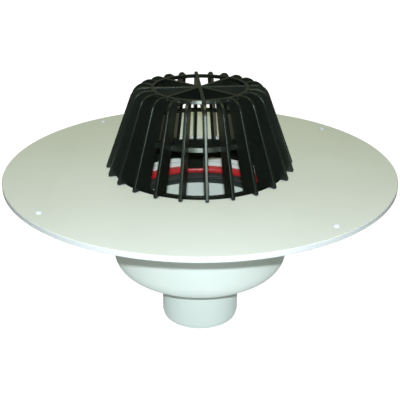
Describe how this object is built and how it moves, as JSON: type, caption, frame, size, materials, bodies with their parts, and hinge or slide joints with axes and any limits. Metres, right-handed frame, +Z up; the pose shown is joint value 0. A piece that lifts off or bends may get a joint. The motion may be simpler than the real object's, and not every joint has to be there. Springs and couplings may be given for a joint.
{
  "type": "flat roof drain",
  "caption": "Flat roof drain: round welding flange over a bowl with a vertical spigot, a push-in seal inside, and a ribbed dome leaf guard that lifts out.",
  "frame": {"origin": "centre of the spigot's lower end, which is the lowest face of the drain", "axes": "+Z up along the drain's axis, towards the leaf guard; the first leaf guard rib lies 4 degrees from +X"},
  "size_m": [0.3599, 0.36, 0.2327],
  "materials": {
    "pvc_sheet": "satin",
    "pvc_moulded": "satin",
    "pvc_pipe": "satin",
    "black_plastic": "satin",
    "red_rubber": "glossy",
    "black_rubber": "matte"
  },
  "bodies": {
    "drain_body": {"roof_flange": "pvc_sheet", "drain_bowl": "pvc_moulded", "outlet_spigot": "pvc_pipe", "seal_ring": "red_rubber", "lip_seal": "black_rubber"},
    "leaf_guard": {"leaf_guard": "black_plastic"}
  },
  "joints": [
    {"name": "leaf_guard_lift", "type": "slide", "parent": "drain_body", "child": "leaf_guard", "axis": [0, 0, 1], "range_m": [0, 0.035]}
  ]
}
